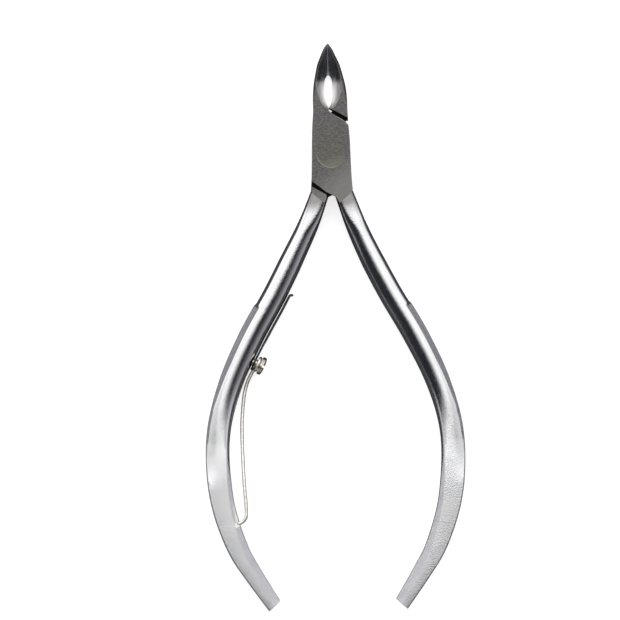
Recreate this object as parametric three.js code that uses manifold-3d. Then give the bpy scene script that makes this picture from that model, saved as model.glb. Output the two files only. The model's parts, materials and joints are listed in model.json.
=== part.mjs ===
// Cuticle nipper, 102 mm long: two forged levers crossed in a half-lap joint on a flush rivet,
// and a wire return spring held with its leaf on the rear lever by a small screw.
//
// Millimetres. The Z axis is the pivot axis and z = 0 is the rear face of the joint.
// +Y points to the jaw tips and +X to the right, seen from the front (+Z). The jaws are closed.
// Each lever crosses over at the joint: the front lever has the left jaw and the right handle.
import * as THREE from 'three';
import { mergeVertices } from 'three/addons/utils/BufferGeometryUtils.js';
import Module from 'manifold-3d';

const wasm = await Module();
wasm.setup();

// ---- Driving dimensions ----

const JOINT_THICKNESS = 5.8;
const LAP_GAP = 0.08; // between the two laps, so that the joint turns
const MID_Z = JOINT_THICKNESS / 2;
const CLOSING_X = -0.25; // the jaws close, and the handles mirror, a little left of the rivet

const TIP_Y = 19.95;
const EDGE_GAP = 0.08; // daylight between the closed cutting edges
const TIP_REAR_Z = 2.35; // the jaws taper to the tip from both faces
const TIP_FRONT_Z = 3.45;
const TAPER_START_REAR_Y = 6.6;
const TAPER_START_FRONT_Y = 12.4;

const BOWL_END_Y = 7.9; // hollow grind on the front of the jaws
const BOWL_CENTRE_Y = 13;
const BOWL_HALF_WIDTH = 2.3;
const BOWL_FLOOR_Z = 1.75;
const BOWL_TIP_FLOOR_Z = 2.95;
const BOWL_RIM = 0.3; // land left between the hollow and the outside of the jaw
const RELIEF_HALF_WIDTH = 0.75; // see-through opening behind the cutting edges
const RELIEF_BOTTOM_Y = 8.1;
const RELIEF_TOP_Y = 14.2;

const RIVET_HEAD_RADIUS = 2.7;
const RIVET_SHANK_RADIUS = 1.8;
const RIVET_HEAD_HEIGHT = 0.9;
const RIVET_CLEARANCE = 0.06;

const WIRE_RADIUS = 0.31;
const EYELET_RADIUS = 1.15; // to the middle of the wire
const WIRE_TIP_RISE = 1.5; // height of the bent tip above mid-thickness
const NOTCH_CENTRE = [-17.8, -66.42]; // notch in the left handle that holds the bent tip
const NOTCH_ANGLE = THREE.MathUtils.degToRad(20);
const NOTCH_LENGTH = 1.6;
const NOTCH_WIDTH = 0.9;
const NOTCH_CUT_HEIGHT = 4;
const NOTCH_GAP = 0.12; // under the wire's tip
const SCREW_ANGLE = THREE.MathUtils.degToRad(-26); // direction of the screw's head, in plan
const SCREW_SEAT = new THREE.Vector3(-14.79, -37.35, MID_Z); // inner edge of the handle at the screw
const SCREW_SHANK_RADIUS = 0.7;
const SCREW_HOLE_CLEARANCE = 0.08;
const SCREW_SHANK_DEPTH = 2.7; // into the handle
const SCREW_END_GAP = 0.3; // left beyond the end of the shank
const SCREW_HEAD_RADIUS = 1.65;
const SCREW_HEAD_EDGE = 0.6;
const SCREW_HEAD_DOME = 0.3;
const SCREW_UNDERSIDE = 1.36; // from the handle's inner edge to the underside of the head
const LEAF_THICKNESS = 0.38;
const LEAF_SEAT_GAP = 0.08; // daylight between the leaf and the handle, at the screw
const LEAF_STANDOFF = 0.17; // the same, away from the screw
const LEAF_WIDTH = 1.5;
const LEAF_TAB_RADIUS = 1.45;
const LEAF_STATIONS = [-1.2, 0.4, 2, 4.3, 6.5, 8.5, 11, 13.5]; // along the handle, up from the screw
const LEAF_CURL_RADIUS = 0.42; // of the curled end
const EYELET_GAP = 0.05; // between the eyelet and the underside of the screw's head

// Middle of a handle, from the closing line outwards and down to the end of the grip.
const HANDLE_SPINE = [
  [2.2, -7.3], [4.15, -12.5], [6.2, -17], [10.25, -25], [14.8, -33], [18.55, -41],
  [20.75, -48.5], [21.25, -55], [20.35, -63.5], [17.65, -71.5], [15.45, -75.3], [10.3, -83.2],
];
// Station along the handle (its y), with the value there.
const HANDLE_WIDTH = [
  [-7, 3.3], [-12, 3.7], [-20, 4.25], [-33, 4.45], [-45, 4.25], [-60, 4.25], [-70, 3.75], [-83, 2.5],
];
const HANDLE_DEPTH = [[-7, 5.74], [-25, 5.4], [-55, 5], [-83, 4]];
const OUTER_BEVEL = [[-29, 1.15], [-38, 1.1], [-46, 0.6], [-52, 0.25], [-83, 0.2]];
const INNER_BEVEL = [[-46, 0.1], [-52, 0.35], [-60, 0.65], [-68, 0.9], [-76, 1.3], [-83, 1.3]];
const HANDLE_END = [11.4, -81.4]; // middle of the end face, from the closing line
const END_CUT_ANGLE = 40; // of the end face, from square to the tool
const SHOULDER_Y = -28.2; // where the finger grip starts, with a small step outwards
const SHOULDER_STEP = 0.16;

// Half width of the closed jaws, each jaw one side, from the joint to the tip.
const JAW_HALF_WIDTH = [
  [3.2, 5.6], [3.1, 7.2], [3.05, 10.2], [2.88, 12], [2.5, 14], [1.97, 16.1],
  [1.36, 17.55], [0.72, 18.95], [0, 19.95],
];

// ---- Solids ----

const WELD_DISTANCE = 1e-4; // points this close are one corner
const OVERRUN = 1; // cutters reach this far past the metal

// Closed solid from a three.js geometry, with its faces turned outwards.
function solid(geometry) {
  const bare = new THREE.BufferGeometry();
  bare.setAttribute('position', geometry.getAttribute('position'));
  bare.setIndex(geometry.getIndex());
  const merged = mergeVertices(bare, WELD_DISTANCE);
  const vertProperties = new Float32Array(merged.getAttribute('position').array);
  const triVerts = new Uint32Array(merged.getIndex().array);
  if (signedVolume(vertProperties, triVerts) < 0) triVerts.reverse();
  return new wasm.Manifold(new wasm.Mesh({ numProp: 3, vertProperties, triVerts }));
}

function signedVolume(positions, triangles) {
  const corner = [new THREE.Vector3(), new THREE.Vector3(), new THREE.Vector3()];
  let volume = 0;
  for (let i = 0; i < triangles.length; i += 3) {
    corner.forEach((point, k) => point.fromArray(positions, 3 * triangles[i + k]));
    volume += corner[0].dot(corner[1].clone().cross(corner[2])) / 6;
  }
  return volume;
}

function mesh(name, body, material) {
  const { vertProperties, triVerts } = body.getMesh();
  const geometry = new THREE.BufferGeometry();
  geometry.setAttribute('position', new THREE.BufferAttribute(vertProperties, 3));
  geometry.setIndex(new THREE.BufferAttribute(triVerts, 1));
  geometry.computeVertexNormals();
  const result = new THREE.Mesh(geometry, material);
  result.name = name;
  return result;
}

// Plan outline [x, y] made solid between two heights.
function prism(outline, bottom, top) {
  const shape = new THREE.Shape(outline.map(([x, y]) => new THREE.Vector2(x, y)));
  const geometry = new THREE.ExtrudeGeometry(shape, { depth: top - bottom, bevelEnabled: false });
  geometry.translate(0, 0, bottom);
  return solid(geometry);
}

// Side outline [y, z] made solid across the whole width of the tool.
function sidePrism(outline, halfWidth) {
  const shape = new THREE.Shape(outline.map(([y, z]) => new THREE.Vector2(y, z)));
  const geometry = new THREE.ExtrudeGeometry(shape, { depth: 2 * halfWidth, bevelEnabled: false });
  const toSide = new THREE.Matrix4().set(0, 0, 1, -halfWidth, 1, 0, 0, 0, 0, 1, 0, 0, 0, 0, 0, 1);
  geometry.applyMatrix4(toSide);
  return solid(geometry);
}

// Solid through rings of points, each ring with the same number of points.
function loft(rings) {
  const count = rings[0].length;
  const points = rings.flat();
  const faces = [];
  for (let ring = 0; ring < rings.length - 1; ring++) {
    for (let i = 0; i < count; i++) {
      const a = ring * count + i;
      const b = ring * count + ((i + 1) % count);
      faces.push(a, b, a + count, b, b + count, a + count);
    }
  }
  for (const [ring, flip] of [[0, true], [rings.length - 1, false]]) {
    const sum = rings[ring].reduce((total, point) => total.add(point), new THREE.Vector3());
    points.push(sum.divideScalar(count));
    for (let i = 0; i < count; i++) {
      const a = ring * count + i;
      const b = ring * count + ((i + 1) % count);
      faces.push(points.length - 1, ...(flip ? [b, a] : [a, b]));
    }
  }
  const geometry = new THREE.BufferGeometry().setFromPoints(points);
  geometry.setIndex(faces);
  return solid(geometry);
}

// Solid of revolution from a profile [radius, height], turned to point along an axis.
function turned(profile, segments, origin = new THREE.Vector3(), axis = new THREE.Vector3(0, 0, 1)) {
  const points = profile.map(([radius, height]) => new THREE.Vector2(radius, height));
  const geometry = new THREE.LatheGeometry(points, segments);
  geometry.applyQuaternion(new THREE.Quaternion().setFromUnitVectors(new THREE.Vector3(0, 1, 0), axis));
  geometry.translate(origin.x, origin.y, origin.z);
  return solid(geometry);
}

function block(width, height, depth, matrix) {
  return solid(new THREE.BoxGeometry(width, height, depth).applyMatrix4(matrix));
}

function joined(...bodies) {
  return bodies.reduce((whole, body) => whole.add(body));
}

function cut(body, ...tools) {
  return tools.reduce((rest, tool) => rest.subtract(tool), body);
}

// Straight-line reading of a [station, value] list, whose stations run downwards.
function along(stations, y) {
  if (y >= stations[0][0]) return stations[0][1];
  const after = stations.findIndex(([station]) => station <= y);
  if (after < 0) return stations.at(-1)[1];
  const [y0, v0] = stations[after - 1];
  const [y1, v1] = stations[after];
  return THREE.MathUtils.mapLinear(y, y0, y1, v0, v1);
}

// The outlines mirror about the rivet at the joint and about the closing line away from it.
const MIDLINE_SHIFT_START = 8;
const MIDLINE_SHIFT_END = 20;

function midline(y) {
  return CLOSING_X * THREE.MathUtils.smoothstep(Math.abs(y), MIDLINE_SHIFT_START, MIDLINE_SHIFT_END);
}

// ---- Handles ----

const SECTION_STEPS = 3; // points on each side of a handle's section
const HANDLE_STATIONS = 44;
const STATION_STEP = 0.7; // no even station comes closer than this to the shoulder
const SHOULDER_BEFORE = 0.05; // the step's two stations, along the handle from the shoulder
const SHOULDER_AFTER = 0.25;
const SHOULDER_FADE = 22; // length over which the step dies away down the grip
const FLAT_START = 42; // distance below the rivet where the grip's flat face starts
const FLAT_END = 60; // and where it is fully flat
const ROUND_START = 7; // below the joint the squared section turns round between these
const ROUND_END = 15;
const ROUND_POWER = 2.35; // superellipse power of the rounded part
const SQUARE_POWER = 5.95; // and of the part next to the joint
const CREST_SHIFT = 0.24; // of the rounded part's ridge, outwards, as a share of the half width
const SIDE_ANGLES = [0, 25, 60, 120, 155, 180]; // where a section's sides meet, outside to inside
const BEVEL_START = 2; // the side angle that the grip's bevel moves
const ANGLE_TOLERANCE = 0.01;
const STATION_TOLERANCE = 1e-6;
const END_BLOCK = 6; // length of the block that cuts the handle's end
const END_BLOCK_WIDTH = 12;

// Rounded half section: a superellipse with its ridge moved outwards.
function rounded(degrees, halfWidth, halfDepth, power, crest) {
  const c = Math.cos(THREE.MathUtils.degToRad(degrees));
  const s = Math.sin(THREE.MathUtils.degToRad(degrees));
  const across = Math.sign(c) * Math.abs(c) ** (2 / power);
  const height = Math.max(s, 0) ** (2 / power);
  return [halfWidth * (across + crest * (1 - across ** 2)), halfDepth * height];
}

// Cross-section of a handle: rounded near the joint, flat with bevelled corners at the grip.
// Points are [offset outwards, height above mid-thickness].
function handleSection(y) {
  const grip = y < SHOULDER_Y;
  const fade = THREE.MathUtils.smoothstep(SHOULDER_Y - y, 0, SHOULDER_FADE);
  const step = grip ? SHOULDER_STEP * (1 - fade) : 0;
  const halfWidth = along(HANDLE_WIDTH, y) / 2;
  const halfDepth = along(HANDLE_DEPTH, y) / 2;
  const outer = along(OUTER_BEVEL, y);
  const inner = along(INNER_BEVEL, y);
  const flatness = THREE.MathUtils.smoothstep(-y, FLAT_START, FLAT_END);
  const roundness = THREE.MathUtils.smoothstep(-y, ROUND_START, ROUND_END);
  const power = THREE.MathUtils.lerp(SQUARE_POWER, ROUND_POWER, roundness);
  const crest = CREST_SHIFT * (1 - flatness) * roundness;
  const round = (degrees) => rounded(degrees, halfWidth, halfDepth, power, crest);
  const outside = halfWidth + step;
  const angles = [...SIDE_ANGLES];
  // The bevel of the grip starts where the rounded top comes to its inner edge.
  if (grip) {
    let low = 0;
    let high = 90;
    while (high - low > ANGLE_TOLERANCE) {
      const middle = (low + high) / 2;
      if (round(middle)[0] > outside - outer) low = middle;
      else high = middle;
    }
    angles[BEVEL_START] = low;
  }
  const bevelTop = THREE.MathUtils.lerp(round(angles[BEVEL_START])[1], halfDepth, flatness);
  const corners = [
    [outside, 0], [outside, bevelTop - outer], [outside - outer, bevelTop],
    [-halfWidth + inner, halfDepth], [-halfWidth, halfDepth - inner], [-halfWidth, 0],
  ];
  const flat = [grip ? 1 : 0, grip ? 1 : 0, flatness, flatness, flatness];
  const upper = [];
  for (let side = 0; side < flat.length; side++) {
    for (let k = 0; k < SECTION_STEPS; k++) {
      const t = k / SECTION_STEPS;
      const [roundA, roundZ] = round(THREE.MathUtils.lerp(angles[side], angles[side + 1], t));
      const flatA = THREE.MathUtils.lerp(corners[side][0], corners[side + 1][0], t);
      const flatZ = THREE.MathUtils.lerp(corners[side][1], corners[side + 1][1], t);
      upper.push([
        THREE.MathUtils.lerp(roundA, flatA, flat[side]), THREE.MathUtils.lerp(roundZ, flatZ, flat[side]),
      ]);
    }
  }
  const lower = upper.slice(1).reverse().map(([offset, height]) => [offset, -height]);
  return [...upper, [-halfWidth, 0], ...lower];
}

const spine = new THREE.CatmullRomCurve3(
  HANDLE_SPINE.map(([x, y]) => new THREE.Vector3(x, y, 0)), false, 'centripetal');

// Point and outward direction of a handle's middle line, side +1 for the right handle.
function handleFrame(u, side) {
  const point = spine.getPointAt(u);
  const tangent = spine.getTangentAt(u);
  const centre = new THREE.Vector3(side * point.x + midline(point.y), point.y, MID_Z);
  const outward = new THREE.Vector3(-side * tangent.y, tangent.x, 0);
  return { centre, outward };
}

// Stations closely spaced on either side of the shoulder, and even elsewhere.
function handleStations() {
  const even = Array.from({ length: HANDLE_STATIONS }, (_, i) => i / (HANDLE_STATIONS - 1));
  const total = spine.getLength();
  let low = 0;
  let high = 1;
  while (high - low > STATION_TOLERANCE) {
    const middle = (low + high) / 2;
    if (spine.getPointAt(middle).y > SHOULDER_Y) low = middle;
    else high = middle;
  }
  const before = low - SHOULDER_BEFORE / total;
  const after = low + SHOULDER_AFTER / total;
  const spaced = even.filter((u) => Math.abs(u - low) > STATION_STEP / total);
  return [...spaced, before, after].sort((a, b) => a - b);
}

function handle(side) {
  const rings = handleStations().map((u) => {
    const { centre, outward } = handleFrame(u, side);
    return handleSection(centre.y).map(([offset, height]) =>
      centre.clone().addScaledVector(outward, offset).add(new THREE.Vector3(0, 0, height)));
  });
  // The end is cut square across.
  const endAngle = -side * THREE.MathUtils.degToRad(END_CUT_ANGLE);
  const cutter = new THREE.Matrix4().makeRotationZ(endAngle);
  const [endX, endY] = HANDLE_END;
  const reach = END_BLOCK / 2;
  const centreX = side * endX + CLOSING_X + reach * Math.sin(endAngle);
  cutter.setPosition(centreX, endY - reach * Math.cos(endAngle), MID_Z);
  return cut(loft(rings), block(END_BLOCK_WIDTH, END_BLOCK, END_BLOCK_WIDTH, cutter));
}

// ---- Joint ----

// Lap of the front lever in plan. The rear lap is its mirror image.
const LAP_OUTLINE = [
  [-3.2, 6.2], [-3.36, 4], [-3.44, 0], [-3.56, -3.5], [-3.64, -5.05], // outside edge
  [-0.95, -7.1], [0.58, -7.75], // lower edge, over the crotch of the handles
  [1.4, -9], [3.45, -7.3], [3.78, -6.6], // step down to the handle
  [3.62, -4.6], [3.5, -1], [3.42, 2.3], [3.22, 4.95], // inside edge
  [2.9, 5.3], [2.2, 5.92], [0.6, 6.85], [-0.3, 7.55], [-0.6, 8.6], [-2.9, 8.6], // edge under the other jaw
];
// Full-thickness block between the lap and the handle.
const ROOT_OUTLINE = [[0.98, -7.5], [3.66, -5.98], [3.78, -6.6], [3.45, -7.3], [1.4, -9], [1.0, -8.3]];
// Shoulder of a jaw over the other lever's lap, from the closing line outwards.
const JAW_SHOULDER = [[-0.35, 8.2], [0.09, 7.95], [2.93, 6.35], [3.25, 6.2]];
// Corner filed off the rear lap, under the shoulder of its own jaw.
const FILED_CORNER = [[2.7, 5.95], [4, 6.1], [4, 4.5], [3.15, 4.5]];

function mirrored(outline, side) {
  return outline.map(([x, y]) => [side * x, y]);
}

function rivetProfile(clearance, overrun) {
  const head = RIVET_HEAD_RADIUS + clearance;
  const shank = RIVET_SHANK_RADIUS + clearance;
  return [
    [0, -overrun], [head, -overrun], [head, 0], [shank, RIVET_HEAD_HEIGHT],
    [shank, JOINT_THICKNESS - RIVET_HEAD_HEIGHT], [head, JOINT_THICKNESS],
    [head, JOINT_THICKNESS + overrun], [0, JOINT_THICKNESS + overrun],
  ];
}

// ---- Jaws ----

const JAW_ROOT_Y = 8.1; // lower end of the closing face
const JAW_OUTSIDE_Y = 6.3; // where the outside edge leaves the shoulder
const TIP_BLUNTING = 0.12; // the tip is this far from a sharp point
const PLAN_SPACING = 0.05; // points of the plan nearer than this to the closing face are left out
const SHOULDER_SPACING = 0.1;
const TIP_OVERRUN = 0.2;
const JOINT_FACE_Y = 5; // the side outline starts here, inside the joint
// Front of the jaws in side view, from the tip down to the joint face.
const JAW_FRONT = [
  [18.2, 4.15], [16, 4.85], [14, 5.45], [TAPER_START_FRONT_Y, JOINT_THICKNESS - 0.08],
  [10.8, JOINT_THICKNESS], [JOINT_FACE_Y, JOINT_THICKNESS],
];
const SIDE_REACH = 8; // half of the width that a side outline is made solid over

const jawEdge = new THREE.SplineCurve(JAW_HALF_WIDTH.map(([x, y]) => new THREE.Vector2(x, y)));

// Outside edge of a jaw in plan, from the joint to the tip. Side -1 is the left jaw.
function jawOutside(side) {
  return jawEdge.getPoints(24).map((point) => {
    return [side * point.x + midline(point.y), Math.min(point.y, TIP_Y)];
  });
}

function jawHalfWidth(y) {
  const points = jawEdge.getPoints(60);
  const above = points.findIndex((point) => point.y >= y);
  if (above < 0) return 0;
  const p = points[above - 1];
  const q = points[above];
  return THREE.MathUtils.mapLinear(y, p.y, q.y, p.x, q.x);
}

function jaw(side) {
  const closing = CLOSING_X + (side * EDGE_GAP) / 2;
  const fromClosing = ([x]) => side * (x - closing);
  const shoulder = mirrored(JAW_SHOULDER, side).filter((point) => fromClosing(point) > SHOULDER_SPACING);
  const outside = jawOutside(side)
    .filter((point) => point[1] > JAW_OUTSIDE_Y && fromClosing(point) > PLAN_SPACING);
  const plan = [[closing, TIP_Y - TIP_BLUNTING], [closing, JAW_ROOT_Y], ...shoulder, ...outside];
  const profile = [
    [JOINT_FACE_Y, 0], [TAPER_START_REAR_Y, 0], [TIP_Y + TIP_OVERRUN, TIP_REAR_Z],
    [TIP_Y + TIP_OVERRUN, TIP_FRONT_Z], ...JAW_FRONT,
  ];
  return prism(plan, 0, JOINT_THICKNESS).intersect(sidePrism(profile, SIDE_REACH));
}

// Spoon-shaped hollow ground into the front of both jaws.
const BOWL_STATIONS = 22;
const BOWL_ARC_STEPS = 14;
const BOWL_FIRST_STATION = 0.01; // just past the hollow's lower end, where it has no width
const BOWL_LAST_STATION = 0.6; // past the tip
const BOWL_STATION_POWER = 1.3; // closer stations towards the joint
const BOWL_RISE_POWER = 1.6; // how late the floor rises towards the tip
const BOWL_ABOVE_FACE = 0.02;
const BOWL_CUT_HEIGHT = 2; // above the front face
const BOWL_SHIFT = 0.6; // share of the closing line's offset that the hollow starts with

function bowl() {
  const rings = [];
  const endY = TIP_Y + BOWL_LAST_STATION;
  for (let i = 0; i < BOWL_STATIONS; i++) {
    const t = i / (BOWL_STATIONS - 1);
    const y = BOWL_END_Y + BOWL_FIRST_STATION + (endY - BOWL_END_Y) * t ** BOWL_STATION_POWER;
    const reach = (BOWL_CENTRE_Y - y) / (BOWL_CENTRE_Y - BOWL_END_Y);
    const towardsJoint = y < BOWL_CENTRE_Y ? Math.sqrt(1 - reach ** 2) : 1;
    const towardsTip = Math.max(0, (y - BOWL_CENTRE_Y) / (TIP_Y - BOWL_CENTRE_Y));
    const rise = (BOWL_TIP_FLOOR_Z - BOWL_FLOOR_Z) * towardsTip ** BOWL_RISE_POWER;
    const floor = JOINT_THICKNESS - (JOINT_THICKNESS - BOWL_FLOOR_Z) * towardsJoint + rise;
    const rim = BOWL_RIM * (1 - 0.5 * towardsTip);
    const narrowing = Math.max(jawHalfWidth(y) - rim, 0.1);
    const wide = y < BOWL_CENTRE_Y ? BOWL_HALF_WIDTH * towardsJoint : narrowing;
    const middle = THREE.MathUtils.lerp(midline(y), CLOSING_X, BOWL_SHIFT);
    const ring = [];
    for (let k = 0; k <= BOWL_ARC_STEPS; k++) {
      const angle = Math.PI * (k / BOWL_ARC_STEPS);
      const depth = (JOINT_THICKNESS - floor) * Math.sin(angle);
      const z = JOINT_THICKNESS + BOWL_ABOVE_FACE - depth;
      ring.push(new THREE.Vector3(middle - wide * Math.cos(angle), y, z));
    }
    ring.push(new THREE.Vector3(middle + wide, y, JOINT_THICKNESS + BOWL_CUT_HEIGHT));
    ring.push(new THREE.Vector3(middle - wide, y, JOINT_THICKNESS + BOWL_CUT_HEIGHT));
    rings.push(ring);
  }
  return loft(rings);
}

// Opening right through the closed jaws, blunt towards the tip and pointed towards the joint.
function reliefOpening() {
  const w = RELIEF_HALF_WIDTH;
  const shape = new THREE.Shape();
  shape.moveTo(CLOSING_X, RELIEF_BOTTOM_Y);
  shape.bezierCurveTo(CLOSING_X + 0.8 * w, 9.1, CLOSING_X + 1.05 * w, 10.4, CLOSING_X + w, 12);
  shape.bezierCurveTo(CLOSING_X + w, 13.3, CLOSING_X + 0.7 * w, 13.9, CLOSING_X, RELIEF_TOP_Y);
  shape.bezierCurveTo(CLOSING_X - 0.7 * w, 13.9, CLOSING_X - w, 13.3, CLOSING_X - w, 12);
  shape.bezierCurveTo(CLOSING_X - 1.05 * w, 10.4, CLOSING_X - 0.8 * w, 9.1, CLOSING_X, RELIEF_BOTTOM_Y);
  const outline = shape.getPoints(6).slice(0, -1).map((point) => [point.x, point.y]);
  return prism(outline, -OVERRUN, JOINT_THICKNESS + OVERRUN);
}

// ---- Levers ----

const KEEP_CLEAR_WIDTH = 8; // block that keeps a lever off the other jaw's side of the closing line
const KEEP_CLEAR_TOP = 12.2;
const KEEP_CLEAR_BOTTOM = 8.2;
const RIVET_SEGMENTS = 48;

// Lever with its handle on one side, +1 right, and its jaw on the other.
// The lap is at the front or the rear.
function lever(side, lapBottom, lapTop) {
  const lap = prism(mirrored(LAP_OUTLINE, side), lapBottom, lapTop);
  const root = prism(mirrored(ROOT_OUTLINE, side), 0, JOINT_THICKNESS);
  const blank = joined(lap, root, jaw(-side), handle(side));
  const clearX = CLOSING_X + side * ((KEEP_CLEAR_WIDTH - EDGE_GAP) / 2);
  const clearY = (KEEP_CLEAR_TOP + KEEP_CLEAR_BOTTOM) / 2;
  const otherJawSide = block(
    KEEP_CLEAR_WIDTH, KEEP_CLEAR_TOP - KEEP_CLEAR_BOTTOM, 4 * JOINT_THICKNESS,
    new THREE.Matrix4().setPosition(clearX, clearY, 0));
  const rivetHole = turned(rivetProfile(RIVET_CLEARANCE, OVERRUN), RIVET_SEGMENTS);
  return cut(blank, otherJawSide, bowl(), reliefOpening(), rivetHole);
}

// ---- Spring set, in the frame of its screw ----

const SCREW_SEGMENTS = 32;
const DOME_STEPS = 5;
const SLOT_LENGTH = 4; // each arm of the cross slot runs right across the head
const SLOT_WIDTH = 0.5;
const SLOT_DEPTH = 0.5;

const screwAxis = new THREE.Vector3(Math.cos(SCREW_ANGLE), Math.sin(SCREW_ANGLE), 0);
const upHandle = new THREE.Vector3(-screwAxis.y, screwAxis.x, 0);
const up = new THREE.Vector3(0, 0, 1);

// Point near the screw: distance up the handle, distance out from its inner edge, and height.
function atScrew(upwards, out, height = 0) {
  return SCREW_SEAT.clone().addScaledVector(upHandle, upwards).addScaledVector(screwAxis, out)
    .addScaledVector(up, height);
}

function screwFrame(upwards, out, height = 0) {
  return new THREE.Matrix4().makeBasis(upHandle, screwAxis.clone().negate(), up)
    .setPosition(atScrew(upwards, out, height));
}

function springScrew() {
  const dome = Array.from({ length: DOME_STEPS }, (_, i) => {
    const angle = (i / DOME_STEPS) * (Math.PI / 2);
    return [SCREW_HEAD_RADIUS * Math.cos(angle), SCREW_HEAD_EDGE + SCREW_HEAD_DOME * Math.sin(angle)];
  });
  const end = -SCREW_UNDERSIDE - SCREW_SHANK_DEPTH;
  const top = SCREW_HEAD_EDGE + SCREW_HEAD_DOME;
  const profile = [
    [0, end], [SCREW_SHANK_RADIUS, end], [SCREW_SHANK_RADIUS, 0], [SCREW_HEAD_RADIUS, 0],
    ...dome, [0, top],
  ];
  const body = turned(profile, SCREW_SEGMENTS, atScrew(0, SCREW_UNDERSIDE), screwAxis);
  const slotFrame = screwFrame(0, SCREW_UNDERSIDE + top);
  return cut(body,
    block(SLOT_LENGTH, 2 * SLOT_DEPTH, SLOT_WIDTH, slotFrame),
    block(SLOT_WIDTH, 2 * SLOT_DEPTH, SLOT_LENGTH, slotFrame));
}

const SEARCH_START = 0.15; // stretch of the handle's middle line that holds the screw and the leaf
const SEARCH_END = 0.6;
const SEARCH_STEP = 0.0005;

// Round bar along the screw's axis, from one distance out to another.
function rod(radius, from, to) {
  const profile = [[0, 0], [radius, 0], [radius, to - from], [0, to - from]];
  return turned(profile, SCREW_SEGMENTS, atScrew(0, from), screwAxis);
}

function screwHole(from, to) {
  return rod(SCREW_SHANK_RADIUS + SCREW_HOLE_CLEARANCE, from, to);
}

// Inner edge of the left handle at a distance up from the screw.
function innerEdge(upwards) {
  const target = atScrew(upwards, 0);
  let best = Infinity;
  let edge = null;
  for (let u = SEARCH_START; u < SEARCH_END; u += SEARCH_STEP) {
    const { centre, outward } = handleFrame(u, -1);
    const point = centre.clone().addScaledVector(outward, -along(HANDLE_WIDTH, centre.y) / 2);
    const distance = point.distanceTo(target);
    if (distance < best) {
      best = distance;
      edge = { point, inward: outward.clone().negate() };
    }
  }
  return edge;
}

const LIFT_START = 2; // the leaf lifts off its seat between these, up from the screw
const LIFT_END = 5;
const CURL_ANGLES = [30, 60, 90, 120];
const LEAF_STEPS = 46;

function springLeaf() {
  const middle = LEAF_STATIONS.map((upwards) => {
    const { point, inward } = innerEdge(upwards);
    const lift = THREE.MathUtils.smoothstep(upwards, LIFT_START, LIFT_END);
    const gap = THREE.MathUtils.lerp(LEAF_SEAT_GAP, LEAF_STANDOFF, lift);
    return point.clone().addScaledVector(inward, gap + LEAF_THICKNESS / 2);
  });
  const curlCentre = middle.at(-1).clone().addScaledVector(screwAxis, LEAF_CURL_RADIUS);
  for (const degrees of CURL_ANGLES) {
    const angle = THREE.MathUtils.degToRad(degrees);
    middle.push(curlCentre.clone()
      .addScaledVector(screwAxis, -LEAF_CURL_RADIUS * Math.cos(angle))
      .addScaledVector(upHandle, LEAF_CURL_RADIUS * Math.sin(angle)));
  }
  const curve = new THREE.CatmullRomCurve3(middle, false, 'centripetal');
  const near = [];
  const far = [];
  for (let i = 0; i <= LEAF_STEPS; i++) {
    const point = curve.getPointAt(i / LEAF_STEPS);
    const tangent = curve.getTangentAt(i / LEAF_STEPS);
    const across = new THREE.Vector3(tangent.y, -tangent.x, 0);
    near.push(point.clone().addScaledVector(across, -LEAF_THICKNESS / 2));
    far.push(point.clone().addScaledVector(across, LEAF_THICKNESS / 2));
  }
  const outline = [...near, ...far.reverse()].map((point) => [point.x, point.y]);
  const blade = prism(outline, MID_Z - LEAF_WIDTH / 2, MID_Z + LEAF_WIDTH / 2);
  const tab = rod(LEAF_TAB_RADIUS, LEAF_SEAT_GAP, LEAF_SEAT_GAP + LEAF_THICKNESS);
  return cut(joined(blade, tab), screwHole(-OVERRUN, SCREW_UNDERSIDE));
}

// Wire of the return spring, parked along the left handle with its bent tip in the notch.
// Points are [x, y, height above mid-thickness].
const WIRE_ARM = [
  [-15.02, -39.25, -1.15], [-16.2, -41.9, -1.1], [-16.93, -47, -0.7], [-17.03, -52, -0.1],
  [-16.8, -59, 0.85], [-16.5, -64.1, 1.4], [-16.62, -65.35, WIRE_TIP_RISE],
  [-17.3, -66.15, WIRE_TIP_RISE], [-18.1, -66.43, WIRE_TIP_RISE],
];
const EYELET_START = 370; // degrees round the screw, down to where the arm leaves
const EYELET_END = 90;
const EYELET_STEP = 14;
const WIRE_STEPS = 110;

function springWire() {
  const out = SCREW_UNDERSIDE - EYELET_GAP - WIRE_RADIUS;
  const points = [];
  for (let degrees = EYELET_START; degrees >= EYELET_END; degrees -= EYELET_STEP) {
    const angle = THREE.MathUtils.degToRad(degrees);
    points.push(atScrew(-EYELET_RADIUS * Math.cos(angle), out, -EYELET_RADIUS * Math.sin(angle)));
  }
  points.push(...WIRE_ARM.map(([x, y, rise]) => new THREE.Vector3(x, y, MID_Z + rise)));
  const path = new THREE.CatmullRomCurve3(points, false, 'centripetal');
  const section = new THREE.Shape();
  section.absarc(0, 0, WIRE_RADIUS, 0, 2 * Math.PI);
  const sweep = { steps: WIRE_STEPS, extrudePath: path, curveSegments: 4 };
  return solid(new THREE.ExtrudeGeometry(section, sweep));
}

// ---- Materials ----

const satinSteel = new THREE.MeshStandardMaterial({ color: 0xd9dadd, roughness: 0.35, metalness: 1 });
const groundSteel = new THREE.MeshStandardMaterial({ color: 0x8d8a83, roughness: 0.3, metalness: 1 });
const blackSteel = new THREE.MeshStandardMaterial({ color: 0x1d1c1e, roughness: 0.4, metalness: 1 });
const nickelSteel = new THREE.MeshStandardMaterial({ color: 0xb5ab9b, roughness: 0.3, metalness: 1 });
const wireSteel = new THREE.MeshStandardMaterial({ color: 0xd6d3c6, roughness: 0.3, metalness: 1 });

// ---- Assembly ----

function frontLever() {
  return lever(1, MID_Z + LAP_GAP / 2, JOINT_THICKNESS);
}

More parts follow.
